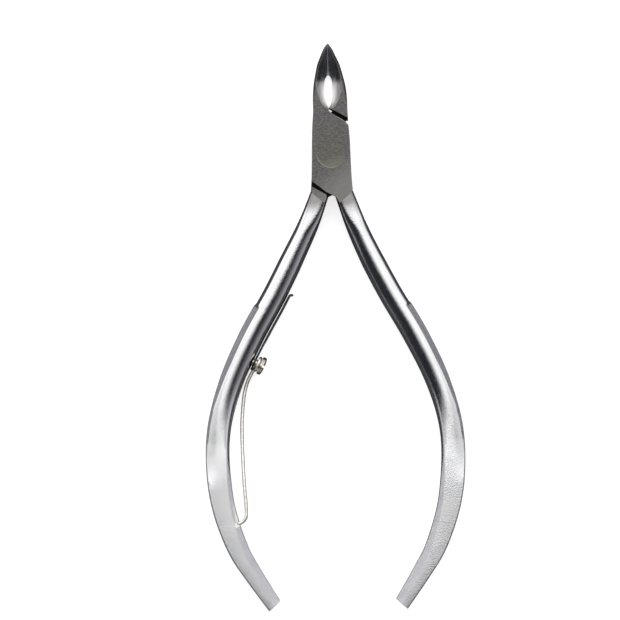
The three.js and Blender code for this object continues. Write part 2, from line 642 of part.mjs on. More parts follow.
function rearLever() {
  const hole = screwHole(-SCREW_SHANK_DEPTH - SCREW_END_GAP, OVERRUN);
  const filed = prism(FILED_CORNER, -OVERRUN, JOINT_THICKNESS + OVERRUN);
  const notchFloor = MID_Z + WIRE_TIP_RISE - WIRE_RADIUS - NOTCH_GAP;
  const notchFrame = new THREE.Matrix4().makeRotationZ(NOTCH_ANGLE);
  notchFrame.setPosition(...NOTCH_CENTRE, notchFloor + NOTCH_CUT_HEIGHT / 2);
  const notch = block(NOTCH_LENGTH, NOTCH_WIDTH, NOTCH_CUT_HEIGHT, notchFrame);
  return cut(lever(-1, 0, MID_Z - LAP_GAP / 2), filed, hole, notch);
}

const nipper = new THREE.Group();
nipper.add(mesh('front_lever', frontLever(), satinSteel));
nipper.add(mesh('rear_lever', rearLever(), satinSteel));
nipper.add(mesh('pivot_rivet', turned(rivetProfile(0, 0), RIVET_SEGMENTS), groundSteel));
nipper.add(mesh('spring_wire', springWire(), wireSteel));
nipper.add(mesh('spring_leaf', springLeaf(), blackSteel));
nipper.add(mesh('spring_screw', springScrew(), nickelSteel));

export default nipper;
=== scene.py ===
import json
import math

import bmesh
import bpy
import numpy as np
from mathutils import Matrix, Vector
from mathutils.geometry import interpolate_bezier


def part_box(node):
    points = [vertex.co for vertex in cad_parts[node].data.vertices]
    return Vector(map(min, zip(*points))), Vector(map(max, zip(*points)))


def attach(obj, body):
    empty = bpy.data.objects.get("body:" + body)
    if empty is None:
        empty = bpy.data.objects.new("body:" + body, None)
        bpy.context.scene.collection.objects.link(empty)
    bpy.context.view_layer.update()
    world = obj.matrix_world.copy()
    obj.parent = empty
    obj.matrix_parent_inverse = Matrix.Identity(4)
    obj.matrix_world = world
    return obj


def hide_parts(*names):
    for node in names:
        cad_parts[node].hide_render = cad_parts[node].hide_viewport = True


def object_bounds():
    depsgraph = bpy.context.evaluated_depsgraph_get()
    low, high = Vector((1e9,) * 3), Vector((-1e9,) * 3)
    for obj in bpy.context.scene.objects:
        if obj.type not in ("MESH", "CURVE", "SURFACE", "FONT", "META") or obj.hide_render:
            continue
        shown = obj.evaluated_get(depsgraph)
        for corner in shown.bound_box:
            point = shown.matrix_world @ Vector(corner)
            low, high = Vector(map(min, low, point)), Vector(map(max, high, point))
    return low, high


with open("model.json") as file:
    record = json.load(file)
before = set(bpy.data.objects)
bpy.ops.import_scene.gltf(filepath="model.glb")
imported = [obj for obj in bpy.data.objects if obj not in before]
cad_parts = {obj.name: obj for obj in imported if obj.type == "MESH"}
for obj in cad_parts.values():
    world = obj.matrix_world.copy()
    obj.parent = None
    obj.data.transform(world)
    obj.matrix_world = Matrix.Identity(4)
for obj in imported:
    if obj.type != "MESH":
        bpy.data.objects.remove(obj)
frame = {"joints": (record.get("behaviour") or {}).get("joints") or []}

MM = 0.001
cad_low, cad_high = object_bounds()
joint_low, joint_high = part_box("pivot_rivet")
swivel = next(j for j in frame["joints"] if j["name"] == "spring_swivel")

# ---- Driving dimensions, in millimetres ----

THICK = (joint_high.z - joint_low.z) / MM
MID_Z = THICK / 2
TIP_Y = cad_high.y / MM
RIVET_RADIUS = joint_high.x / MM
LAP_GAP = 0.08  # between the two laps
CLOSING_X = -0.25  # the jaws close, and the handles mirror, a little left of the rivet
EDGE_GAP = 0.014  # between the closed cutting edges

TIP_REAR_Z = 2.35
TIP_FRONT_Z = 3.45
TAPER_START_REAR_Y = 6.6
BOWL_END_Y = 7.9
BOWL_CENTRE_Y = 13
BOWL_FLOOR_Z = 1.75
BOWL_TIP_FLOOR_Z = 2.95
RELIEF_HALF_WIDTH = 0.75

SCREW_SEAT = Vector(swivel["pos_m"]) / MM
SCREW_AXIS = -Vector(swivel["axis"]).normalized()
UP = Vector((0, 0, 1))
UP_HANDLE = UP.cross(SCREW_AXIS)
SCREW_SHANK_RADIUS = 0.7
SCREW_SHANK_DEPTH = 2.7
SCREW_HEAD_RADIUS = 1.65
SCREW_HEAD_EDGE = 0.6
SCREW_HEAD_DOME = 0.3
SCREW_UNDERSIDE = 1.36  # from the handle's inner edge to the underside of the head
SCREW_HOLE_CLEARANCE = 0.08
WIRE_RADIUS = 0.31
EYELET_RADIUS = 1.15
WIRE_TIP_RISE = 1.5
LEAF_THICKNESS = 0.38
LEAF_SEAT_GAP = 0.08
LEAF_STANDOFF = 0.1
LEAF_WIDTH = 1.5
LEAF_TAB_RADIUS = 1.45
LEAF_STATIONS = (-1.2, 0.4, 2, 4.3, 6.5, 8.5, 11, 13.5)  # up the handle from the screw
LEAF_CURL_RADIUS = 0.42
EYELET_GAP = 0.05

# Middle of a handle, from the closing line outwards and down to the end of the grip.
HANDLE_SPINE = [
    (2.2, -7.3), (4.15, -12.5), (6.2, -17), (10.25, -25), (14.8, -33), (18.55, -41),
    (20.75, -48.5), (21.25, -55), (20.35, -63.5), (17.65, -71.5), (15.45, -75.3), (10.3, -83.2),
]
# Stations along the handle (y), with the value there.
HANDLE_WIDTH = [
    (-7, 3.3), (-12, 3.7), (-20, 4.25), (-33, 4.45), (-45, 4.25), (-60, 4.25), (-70, 3.75), (-83, 2.5),
]
HANDLE_INSET = 0.008  # keeps the finer curve inside the CAD's box
HANDLE_DEPTH = [(-7, 5.74), (-25, 5.4), (-55, 5), (-83, 4)]
OUTER_BEVEL = [(-29, 1.15), (-38, 1.1), (-46, 0.6), (-52, 0.25), (-83, 0.2)]
INNER_BEVEL = [(-46, 0.1), (-52, 0.35), (-60, 0.65), (-68, 0.9), (-76, 1.3), (-83, 1.3)]
HANDLE_END = (11.4, -81.4)
END_CUT_ANGLE = math.radians(40)
SHOULDER_Y = -28.2
SHOULDER_STEP = 0.16

JAW_HALF_WIDTH = [
    (3.2, 5.6), (3.1, 7.2), (3.05, 10.2), (2.88, 12), (2.5, 14), (1.97, 16.1),
    (1.36, 17.55), (0.72, 18.95), (0, 19.95),
]
# Lap of the front lever in plan. The rear lap is its mirror image.
LAP_OUTLINE = [
    (-3.2, 6.2), (-3.36, 4), (-3.44, 0), (-3.56, -3.5), (-3.64, -5.05),
    (-0.95, -7.1), (0.58, -7.75),
    (1.4, -9), (3.45, -7.3), (3.78, -6.6),
    (3.62, -4.6), (3.5, -1), (3.42, 2.3), (3.22, 4.95),
    (2.9, 5.3), (2.2, 5.92), (0.6, 6.85), (-0.3, 7.55), (-0.6, 8.6), (-2.9, 8.6),
]
LAP_FREE_EDGES = [0, 1, 2, 3, 4, 5, 9, 10, 11, 12, 13, 14, 15, 16]  # edges that get a fine chamfer
LAP_CHAMFER = 0.07
ROOT_OUTLINE = [(0.98, -7.5), (3.66, -5.98), (3.78, -6.6), (3.45, -7.3), (1.4, -9), (1.0, -8.3)]
JAW_SHOULDER = [(-0.35, 8.2), (0.09, 7.95), (2.93, 6.35), (3.25, 6.2)]
FILED_CORNER = [(2.7, 5.95), (4, 6.1), (4, 4.5), (3.15, 4.5)]

# Wire of the return spring, parked along the left handle with its bent tip in the notch.
WIRE_ARM = [
    (-15.02, -39.25, -1.15), (-16.2, -41.9, -1.1), (-16.93, -47, -0.7), (-17.03, -52, -0.1),
    (-16.8, -59, 0.85), (-16.5, -64.1, 1.4), (-16.62, -65.35, WIRE_TIP_RISE),
    (-17.3, -66.15, WIRE_TIP_RISE), (-18.1, -66.43, WIRE_TIP_RISE),
]


# ---- Numbers and curves ----

def clamp(value, low=0.0, high=1.0):
    return min(max(value, low), high)


def smoothstep(value, low, high):
    t = clamp((value - low) / (high - low))
    return t * t * (3 - 2 * t)


def mix(a, b, t):
    return a + (b - a) * t


def along(stations, y):
    """Straight-line reading of a list of stations, which run downwards."""
    ys = [-station for station, _ in stations]
    return float(np.interp(-y, ys, [value for _, value in stations]))


MIDLINE_SHIFT_START, MIDLINE_SHIFT_END = 8, 20


def midline(y):
    """The outlines mirror about the rivet at the joint, and about the closing line away from it."""
    return CLOSING_X * smoothstep(abs(y), MIDLINE_SHIFT_START, MIDLINE_SHIFT_END)


LEAST_SPACING = 1e-6  # neighbouring points of a curve are taken to be at least this far apart


def smooth_curve(points, steps=24):
    """Centripetal Catmull-Rom curve through the points, as a dense list of vectors."""
    inner = [Vector(q) for q in points]
    p = [2 * inner[0] - inner[1], *inner, 2 * inner[-1] - inner[-2]]
    out = []
    for i in range(1, len(p) - 2):
        p0, p1, p2, p3 = p[i - 1:i + 3]
        t0 = 0.0
        t1 = t0 + max((p1 - p0).length, LEAST_SPACING) ** 0.5
        t2 = t1 + max((p2 - p1).length, LEAST_SPACING) ** 0.5
        t3 = t2 + max((p3 - p2).length, LEAST_SPACING) ** 0.5
        for k in range(steps):
            t = mix(t1, t2, k / steps)
            a1 = mix(p0, p1, (t - t0) / (t1 - t0))
            a2 = mix(p1, p2, (t - t1) / (t2 - t1))
            a3 = mix(p2, p3, (t - t2) / (t3 - t2))
            b1 = mix(a1, a2, (t - t0) / (t2 - t0))
            b2 = mix(a2, a3, (t - t1) / (t3 - t1))
            out.append(mix(b1, b2, (t - t1) / (t2 - t1)))
    out.append(inner[-1])
    return out


def evenly(points, count):
    """Points and directions evenly spaced along a polyline."""
    p = np.array(points)
    distance = np.concatenate([[0], np.cumsum(np.linalg.norm(np.diff(p, axis=0), axis=1))])
    wanted = np.linspace(0, distance[-1], count)
    at = np.stack([np.interp(wanted, distance, p[:, k]) for k in range(3)], axis=1)
    direction = np.gradient(at, axis=0)
    direction /= np.linalg.norm(direction, axis=1)[:, None]
    return at, direction


# ---- Solids ----

SATIN, GROUND, POLISHED, DARK = 0, 1, 2, 3  # surfaces of a lever, in the order of its slots


def solid(points, faces, surface=GROUND):
    """Closed body with its faces turned outwards, as an object in millimetres."""
    mesh = bpy.data.meshes.new("body")
    mesh.from_pydata([tuple(p) for p in points], [], faces)
    work = bmesh.new()
    work.from_mesh(mesh)
    bmesh.ops.recalc_face_normals(work, faces=work.faces)
    work.to_mesh(mesh)
    work.free()
    for material in LEVER_MATERIALS:
        mesh.materials.append(material)
    mesh.polygons.foreach_set("material_index", [surface] * len(mesh.polygons))
    body = bpy.data.objects.new("body", mesh)
    bpy.context.scene.collection.objects.link(body)
    return body


def loft(rings, surface=GROUND):
    """Body through rings of points, each ring with the same number of points."""
    count = len(rings[0])
    points = [p for ring in rings for p in ring]
    faces = []
    for r in range(len(rings) - 1):
        for i in range(count):
            a, b = r * count + i, r * count + (i + 1) % count
            faces.append((a, b, b + count, a + count))
    last = (len(rings) - 1) * count
    faces.append(tuple(reversed(range(count))))
    faces.append(tuple(range(last, last + count)))
    return solid(points, faces, surface)


CHAMFER_STEPS = 2
CHAMFER_FULLNESS = 0.6


def prism(outline, bottom, top, surface=GROUND, chamfered=()):
    """Plan outline made solid between two heights, with a chamfer along the named edges."""
    rings = [[(x, y, z) for x, y in outline] for z in (bottom, top)]
    body = loft(rings, surface)
    if chamfered:
        work = bmesh.new()
        work.from_mesh(body.data)
        work.verts.ensure_lookup_table()
        count = len(outline)
        edges = []
        for i in chamfered:
            for base in (0, count):
                pair = (work.verts[base + i], work.verts[base + (i + 1) % count])
                edges.append(work.edges.get(pair))
        bmesh.ops.bevel(work, geom=edges, offset=LAP_CHAMFER, segments=CHAMFER_STEPS,
                        profile=CHAMFER_FULLNESS, affect="EDGES")
        work.to_mesh(body.data)
        work.free()
    return body


def turned(profile, origin=Vector(), axis=UP, segments=96, surface=GROUND):
    """Solid of revolution from a profile of (radius, height) that starts and ends on the axis."""
    turn = UP.rotation_difference(axis)
    rings = []
    for radius, height in profile[1:-1]:
        ring = []
        for i in range(segments):
            angle = math.tau * i / segments
            local = Vector((radius * math.cos(angle), radius * math.sin(angle), height))
            ring.append(origin + turn @ local)
        rings.append(ring)
    return loft(rings, surface)


def block(size, matrix, surface=GROUND):
    corners = [(x, y, z) for x in (-0.5, 0.5) for y in (-0.5, 0.5) for z in (-0.5, 0.5)]
    points = [matrix @ Vector((x * size[0], y * size[1], z * size[2])) for x, y, z in corners]
    faces = [(0, 1, 3, 2), (4, 6, 7, 5), (0, 4, 5, 1), (2, 3, 7, 6), (0, 2, 6, 4), (1, 5, 7, 3)]
    return solid(points, faces, surface)


def combine(base, operation, *tools):
    """Joins tools to a body or cuts them from it. The tools are used up."""
    for tool in tools:
        step = base.modifiers.new("step", "BOOLEAN")
        step.operation = operation
        step.solver = "MANIFOLD"
        step.object = tool
        graph = bpy.context.evaluated_depsgraph_get()
        result = bpy.data.meshes.new_from_object(base.evaluated_get(graph))
        base.modifiers.clear()
        base.data = result
        bpy.data.objects.remove(tool)
    return base


WELD_DISTANCE = 2e-7  # metres
SHORTEST_EDGE = 1e-7  # metres
SMOOTH_ANGLE = 32  # degrees of bend that still look round
BORDER_ANGLE = 2  # the same where two surfaces meet


def finish_piece(body, name, rides_on, node, smooth_angle=SMOOTH_ANGLE):
    """Scales a body to metres, shades it, names it, hangs it on its body's empty and hides the CAD part
    it replaces.
    """
    mesh = body.data
    mesh.transform(Matrix.Scale(MM, 4))
    work = bmesh.new()
    work.from_mesh(mesh)
    bmesh.ops.remove_doubles(work, verts=work.verts, dist=WELD_DISTANCE)
    bmesh.ops.dissolve_degenerate(work, edges=work.edges, dist=SHORTEST_EDGE)
    for edge in work.edges:
        faces = edge.link_faces
        if len(faces) == 2:
            bend = faces[0].normal.angle(faces[1].normal, 0.0)
            border = faces[0].material_index != faces[1].material_index
            sharp_border = border and bend > math.radians(BORDER_ANGLE)
            edge.smooth = bend < math.radians(smooth_angle) and not sharp_border
    for face in work.faces:
        face.smooth = True
    work.to_mesh(mesh)
    work.free()
    body.name = name
    mesh.name = name
    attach(body, rides_on)
    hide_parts(node)
    return body


# ---- Materials ----

class Graph:
    """Short way to add nodes to a node tree."""

    def __init__(self, tree):
        self.tree = tree
        self.tree.nodes.clear()

    def add(self, kind, inputs=None, **settings):
        node = self.tree.nodes.new(kind)
        for key, value in settings.items():
            setattr(node, key, value)
        for key, value in (inputs or {}).items():
            if isinstance(value, bpy.types.NodeSocket):
                self.tree.links.new(value, node.inputs[key])
            else:
                node.inputs[key].default_value = value
        return node

    def math(self, operation, a, b=0.0):
        return self.add("ShaderNodeMath", {0: a, 1: b}, operation=operation).outputs[0]

    def ramp(self, value, low, high, to_low=0.0, to_high=1.0):
        """Smooth step of a value between low and high."""
        inputs = {"Value": value, "From Min": low, "From Max": high, "To Min": to_low, "To Max": to_high}
        return self.add("ShaderNodeMapRange", inputs, interpolation_type="SMOOTHSTEP").outputs[0]

    def blend(self, factor, a, b):
        mixer = self.add("ShaderNodeMix", {"Factor": factor}, data_type="RGBA")
        for socket, value in ((mixer.inputs[6], a), (mixer.inputs[7], b)):
            if isinstance(value, bpy.types.NodeSocket):
                self.tree.links.new(value, socket)
            else:
                socket.default_value = (*value, 1.0)
        return mixer.outputs[2]

    def noise(self, vector, scale, detail=2.0, roughness=0.5):
        inputs = {"Vector": vector, "Scale": scale, "Detail": detail, "Roughness": roughness}
        return self.add("ShaderNodeTexNoise", inputs).outputs["Fac"]

    def place(self, stretch=(1.0, 1.0, 1.0), turn=0.0):
        """Position on the object in millimetres, stretched and turned about Z."""
        where = self.add("ShaderNodeTexCoord").outputs["Object"]
        scale = tuple(s / MM for s in stretch)
        inputs = {"Vector": where, "Scale": scale, "Rotation": (0.0, 0.0, turn)}
        return self.add("ShaderNodeMapping", inputs).outputs[0]

    def height(self, level, strength, distance):
        inputs = {"Height": level, "Strength": strength, "Distance": distance * MM}
        return self.add("ShaderNodeBump", inputs).outputs[0]


def metal(name, build):
    """Metal material. build adds its nodes and returns the shader's inputs."""
    material = bpy.data.materials.new(name)
    material.use_nodes = True
    graph = Graph(material.node_tree)
    inputs = build(graph)
    inputs["Metallic"] = 1.0
    shader = graph.add("ShaderNodeBsdfPrincipled", inputs)
    graph.add("ShaderNodeOutputMaterial", {"Surface": shader.outputs[0]})
    return material


def satin(g):
    """Blasted satin plating with a fine sparkling grain."""
    where = g.place()
    grain = g.noise(where, 5.5, 2.0, 0.6)
    fine = g.noise(where, 12.0, 1.0)
    cloud = g.noise(where, 0.35, 3.0)
    both = g.math("ADD", g.math("MULTIPLY", grain, 0.6), g.math("MULTIPLY", fine, 0.4))
    plating = g.blend(g.ramp(cloud, 0.3, 0.7), (0.83, 0.83, 0.845), (0.88, 0.88, 0.885))
    position = g.add("ShaderNodeSeparateXYZ", {0: g.place()})
    bare = g.ramp(g.math("ADD", position.outputs[1], g.math("MULTIPLY", cloud, 2.0)), -10.6, -7.6)
    return {
        "Base Color": g.blend(bare, plating, (0.3, 0.295, 0.285)),
        "Roughness": g.ramp(grain, 0.3, 0.7, 0.08, 0.14),
        "Normal": g.height(both, 0.7, 0.028),
    }


def mottled(g, low, high):
    """Cross-ground steel between two tones, with purple and olive tints: (colour, lines)."""
    lines = g.noise(g.place((0.8, 9.0, 1.0)), 1.0, 4.0, 0.65)
    patches = g.noise(g.place((1.6, 4.2, 1.2)), 1.0, 4.0, 0.8)
    tint = g.noise(g.place((0.9, 1.3, 0.8)), 1.0, 3.0, 0.6)
    tinted = g.blend(g.ramp(tint, 0.35, 0.65), (0.99, 0.95, 1.02), (1.03, 1.02, 0.94))
    tone = g.blend(g.ramp(patches, 0.35, 0.65), low, high)
    product = g.add("ShaderNodeMix", {"Factor": 1.0}, data_type="RGBA", blend_type="MULTIPLY")
    g.tree.links.new(tone, product.inputs[6])
    g.tree.links.new(tinted, product.inputs[7])
    return product.outputs[2], lines


def ground(g):
    """Bare steel, surface-ground across the joint in fine lines."""
    colour, lines = mottled(g, (0.083, 0.082, 0.083), (0.175, 0.171, 0.165))
    position = g.add("ShaderNodeSeparateXYZ", {0: g.place()})
    x, y = position.outputs[0], position.outputs[1]
    corner = g.ramp(g.math("SUBTRACT", g.math("MULTIPLY", x, 0.8), y), 1.0, 8.0)
    return {
        "Base Color": g.blend(g.math("MULTIPLY", corner, 0.75), colour, (0.24, 0.233, 0.222)),
        "Roughness": g.ramp(lines, 0.3, 0.7, 0.3, 0.42),
        "Normal": g.height(lines, 0.5, 0.02),
    }


def polished(g):
    """Hollow-ground jaws, smoothed with a fine wheel, smoother towards the tip, where the colour is
    painted darker as a dark reflection.
    """
    marks = g.noise(g.place((5.0, 0.7, 2.0)), 1.0, 3.0, 0.6)
    position = g.add("ShaderNodeSeparateXYZ", {0: g.place()})
    upper = g.ramp(g.math("ADD", position.outputs[1], marks), 12.6, 14.6)
    return {
        # painted reflection: the darker colour towards the tip stands in for the dark reflection in the
        # hollow
        "Base Color": g.blend(upper, (0.88, 0.87, 0.86), (0.6, 0.6, 0.62)),
        "Roughness": g.ramp(upper, 0.0, 1.0, 0.42, 0.2),
        "Normal": g.height(marks, 0.25, 0.02),
    }


def painted_shade_lap(g):
    """Hidden faces of the laps, painted near-black as shade."""
    marks = g.noise(g.place(), 2.0, 3.0)
    return {
        # painted shade: near-black for the shadowed gaps between the laps
        "Base Color": g.blend(marks, (0.012, 0.011, 0.010), (0.03, 0.028, 0.026)),
        "Roughness": g.ramp(marks, 0.3, 0.7, 0.4, 0.55),
    }


def rivet_face(g):
    """End of the rivet, ground flush, with a slight olive cast and a lighter arc on its lower left edge.
    """
    colour, lines = mottled(g, (0.087, 0.086, 0.077), (0.172, 0.170, 0.150))
    position = g.add("ShaderNodeSeparateXYZ", {0: g.place()})
    x, y = position.outputs[0], position.outputs[1]
    lower = g.ramp(g.math("SUBTRACT", g.math("MULTIPLY", x, 0.3), y), 0.2, 2.6)
    olive = g.blend(g.math("MULTIPLY", lower, 0.5), colour, (0.225, 0.22, 0.18))
    radius = g.math("SQRT", g.math("ADD", g.math("MULTIPLY", x, x), g.math("MULTIPLY", y, y)))
    rim = g.ramp(radius, 2.48, 2.62)
    way = g.ramp(g.math("ADD", g.math("MULTIPLY", x, 0.6), y), -1.2, -2.6)
    # lighter colour on the lower left of the rim
    lighter_arc = g.blend(g.math("MULTIPLY", g.math("MULTIPLY", rim, way), 0.45), olive, (0.42, 0.41, 0.31))
    return {
        "Base Color": lighter_arc,
        "Roughness": g.ramp(lines, 0.3, 0.7, 0.3, 0.42),
        "Normal": g.height(lines, 0.45, 0.02),
    }


def drawn_wire(g):
    """Drawn spring wire, bright and slightly warm."""
    marks = g.noise(g.place((1.0, 2.6, 1.0)), 1.0, 2.0, 0.6)
    return {
        "Base Color": g.blend(g.ramp(marks, 0.35, 0.65), (0.74, 0.71, 0.62), (0.95, 0.93, 0.86)),
        "Roughness": g.ramp(marks, 0.3, 0.7, 0.28, 0.4),
        "Normal": g.height(marks, 0.5, 0.05),
    }


def strip_painted_dark(g):
    """Hardened spring strip, near-black: partly its own dark temper, partly a painted dark reflection.
    """
    marks = g.noise(g.place((2.0, 2.0, 6.0)), 1.0, 3.0, 0.6)
    return {
        # painted reflection: the near-black colour partly stands in for the dark surroundings that the
        # strip reflects
        "Base Color": g.blend(g.ramp(marks, 0.3, 0.7), (0.035, 0.035, 0.038), (0.07, 0.07, 0.075)),
        "Roughness": g.ramp(marks, 0.3, 0.7, 0.3, 0.42),
        "Normal": g.height(marks, 0.3, 0.02),
    }


def nickel(g):
    """Turned screw in warm nickel plate, with a little tarnish."""
    where = g.place()
    tarnish = g.noise(where, 1.4, 4.0, 0.6)
    marks = g.noise(where, 9.0, 2.0)
    return {
        "Base Color": g.blend(g.ramp(tarnish, 0.35, 0.7), (0.78, 0.71, 0.60), (0.44, 0.39, 0.32)),
        "Roughness": g.ramp(marks, 0.3, 0.7, 0.2, 0.34),
        "Normal": g.height(marks, 0.25, 0.015),
    }


LEVER_MATERIALS = [
    metal("satin_plating", satin), metal("ground_joint", ground), metal("polished_jaw", polished),
    metal("lap_in_painted_shade", painted_shade_lap),
]
RIVET_MATERIAL = metal("rivet_face", rivet_face)
WIRE_MATERIAL = metal("drawn_wire", drawn_wire)
STRIP_MATERIAL = metal("strip_painted_dark", strip_painted_dark)
SCREW_MATERIAL = metal("warm_nickel", nickel)


def only_material(body, material):
    body.data.materials.clear()
    body.data.materials.append(material)
    body.data.polygons.foreach_set("material_index", [0] * len(body.data.polygons))
    return body


OVERRUN = 1  # cutters reach this far past the metal

# ---- Handles ----

SECTION_STEPS = 10  # points on each of the five sides of a handle's half section
HANDLE_RINGS = 300
SHOULDER_FADE = 22  # length over which the shoulder's step dies away down the grip
FLAT_START, FLAT_END = 42, 60  # distances below the rivet between which the grip turns flat
CROWN = 0.012  # a flat is this much lower at its edges, as a share of its height
ROUND_START, ROUND_END = 7, 15  # and the squared part next to the joint turns round
SQUARE_POWER, ROUND_POWER = 5.95, 2.35  # superellipse powers of those two parts
CREST_SHIFT = 0.24  # of the rounded part's ridge, outwards, as a share of the half width
SIDE_ANGLES = (0, 25, 60, 120, 155, 180)
BEVEL_START = 2  # the side angle that the grip's bevel moves
ANGLE_TOLERANCE = 0.01


def rounded(degrees, half_width, half_depth, power, crest):
    """Upper half of a superellipse with its ridge moved outwards: (offset, height)."""
    c = math.cos(math.radians(degrees))
    s = math.sin(math.radians(degrees))
    across = math.copysign(abs(c) ** (2 / power), c)
    height = max(s, 0) ** (2 / power)
    return half_width * (across + crest * (1 - across ** 2)), half_depth * height


def handle_section(y):
    """Rounded near the joint, flat with bevelled corners at the grip: (offset outwards, height)."""
    grip = y < SHOULDER_Y
    step = SHOULDER_STEP * (1 - smoothstep(SHOULDER_Y - y, 0, SHOULDER_FADE)) if grip else 0
    half_width = along(HANDLE_WIDTH, y) / 2 - HANDLE_INSET
    half_depth = along(HANDLE_DEPTH, y) / 2
    outer = along(OUTER_BEVEL, y)
    inner = along(INNER_BEVEL, y)
    flatness = smoothstep(-y, FLAT_START, FLAT_END)
    roundness = smoothstep(-y, ROUND_START, ROUND_END)
    power = mix(SQUARE_POWER, ROUND_POWER, roundness)
    crest = CREST_SHIFT * (1 - flatness) * roundness
    outside = half_width + step
    angles = list(SIDE_ANGLES)
    if grip:  # the bevel starts where the rounded top comes to its inner edge
        low, high = 0.0, 90.0
        while high - low > ANGLE_TOLERANCE:
            middle = (low + high) / 2
            if rounded(middle, half_width, half_depth, power, crest)[0] > outside - outer:
                low = middle
            else:
                high = middle
        angles[BEVEL_START] = low
    round_top = rounded(angles[BEVEL_START], half_width, half_depth, power, crest)[1]
    bevel_top = mix(round_top, half_depth, flatness)
    corners = [
        (outside, 0), (outside, bevel_top - outer), (outside - outer, bevel_top),
        (-half_width + inner, half_depth), (-half_width, half_depth - inner), (-half_width, 0),
    ]
    flat = [float(grip), float(grip), flatness, flatness, flatness]
    upper = []
    for side in range(len(flat)):
        for k in range(SECTION_STEPS):
            t = k / SECTION_STEPS
            angle = mix(angles[side], angles[side + 1], t)
            curved = rounded(angle, half_width, half_depth, power, crest)
            straight = [mix(corners[side][i], corners[side + 1][i], t) for i in (0, 1)]
            offset, height = (mix(curved[i], straight[i], flat[side]) for i in (0, 1))
            upper.append((offset, height * (1 - CROWN * (offset / half_width) ** 2)))
    lower = [(offset, -height) for offset, height in reversed(upper[1:])]
    return [*upper, (-half_width, 0), *lower]


END_BLOCK = 6  # length of the block that cuts the handle's end
END_BLOCK_WIDTH = 12


def handle(side):
    """Lofted handle, side +1 for the right one, cut square at its end."""
    spine, direction = evenly(smooth_curve([(x, y, 0) for x, y in HANDLE_SPINE]), HANDLE_RINGS)
    rings = []
    for point, tangent in zip(spine, direction):
        centre = Vector((side * point[0] + midline(point[1]), point[1], MID_Z))
        outward = Vector((-side * tangent[1], tangent[0], 0))
        section = handle_section(point[1])
        rings.append([centre + outward * offset + UP * height for offset, height in section])
    angle = -side * END_CUT_ANGLE
    reach = END_BLOCK / 2
    end_x = side * HANDLE_END[0] + CLOSING_X + reach * math.sin(angle)
    end_y = HANDLE_END[1] - reach * math.cos(angle)
    cutter = Matrix.Translation((end_x, end_y, MID_Z)) @ Matrix.Rotation(angle, 4, "Z")
    end_block = block((END_BLOCK_WIDTH, END_BLOCK, END_BLOCK_WIDTH), cutter, SATIN)
    return combine(loft(rings, SATIN), "DIFFERENCE", end_block)


# ---- Jaws ----

JAW_CURVE_STEPS = 12
JAW_WIDTH_SAMPLES = 140
JAW_WIDTH_START = 5.6


def jaw_width(y):
    points = smooth_curve([(x, y2, 0) for x, y2 in JAW_HALF_WIDTH], JAW_CURVE_STEPS)
    return float(np.interp(y, [p.y for p in points], [p.x for p in points]))


JAW_WIDTH_YS = np.linspace(JAW_WIDTH_START, JAW_HALF_WIDTH[-1][1], JAW_WIDTH_SAMPLES)
JAW_WIDTHS = [(y, jaw_width(y)) for y in JAW_WIDTH_YS]


def jaw_reach(y):
    return float(np.interp(y, [a for a, _ in JAW_WIDTHS], [b for _, b in JAW_WIDTHS]))


JAW_FRONT = [
    (5, THICK), (10.8, THICK), (12.4, THICK - 0.08), (14, 5.45), (16, 4.85), (18.2, 4.15),
    (20.2, TIP_FRONT_Z),
]
JAW_REAR = [(5, 0), (TAPER_START_REAR_Y, 0), (20.15, TIP_REAR_Z)]
JAW_START_Y = 6.0
JAW_RINGS = 120
JAW_TIP_GAP = 0.01  # the last ring is this far short of the tip
JAW_ARC_STEPS = 8
JAW_LEAST = 0.03  # least width of a ring, and the rounding next to the joint
JAW_ROUNDING = 0.75  # of the outside edges
ROUNDING_START, ROUNDING_END = 7.5, 12  # the rounding grows between these
ROUNDING_OF_WIDTH = 0.6  # and is never a greater share of the jaw's width
ROUNDING_OF_DEPTH = 0.35  # or of its depth
BELOW_SHOULDER = [(6, 6.2), (6, 3), (-0.35, 3)]  # rest of the outline that is cut away under the jaw


def jaw(side):
    """Jaw from the joint to the tip, with rounded outside edges. Side +1 is the right jaw."""
    closing = CLOSING_X + side * EDGE_GAP / 2
    rings = []
    for y in np.linspace(JAW_START_Y, TIP_Y - JAW_TIP_GAP, JAW_RINGS):
        outside = side * jaw_reach(y) + midline(y)
        width = max(side * (outside - closing), JAW_LEAST)
        front = float(np.interp(y, [a for a, _ in JAW_FRONT], [b for _, b in JAW_FRONT]))
        rear = float(np.interp(y, [a for a, _ in JAW_REAR], [b for _, b in JAW_REAR]))
        rounding = mix(JAW_LEAST, JAW_ROUNDING, smoothstep(y, ROUNDING_START, ROUNDING_END))
        radius = min(rounding, ROUNDING_OF_WIDTH * width, ROUNDING_OF_DEPTH * (front - rear))
        flank = closing + side * (width - radius)
        ring = [(closing, y, front)]
        for k in range(JAW_ARC_STEPS + 1):
            a = math.pi / 2 * k / JAW_ARC_STEPS
            ring.append((flank + side * radius * math.sin(a), y, front - radius + radius * math.cos(a)))
        for k in range(JAW_ARC_STEPS + 1):
            a = math.pi / 2 * k / JAW_ARC_STEPS
            ring.append((flank + side * radius * math.cos(a), y, rear + radius - radius * math.sin(a)))
        ring.append((closing, y, rear))
        rings.append(ring)
    body = loft(rings, GROUND)
    shoulder = [(side * x, y) for x, y in JAW_SHOULDER]
    below = shoulder + [(side * x, y) for x, y in BELOW_SHOULDER]
    return combine(body, "DIFFERENCE", prism(below, -OVERRUN, THICK + OVERRUN))


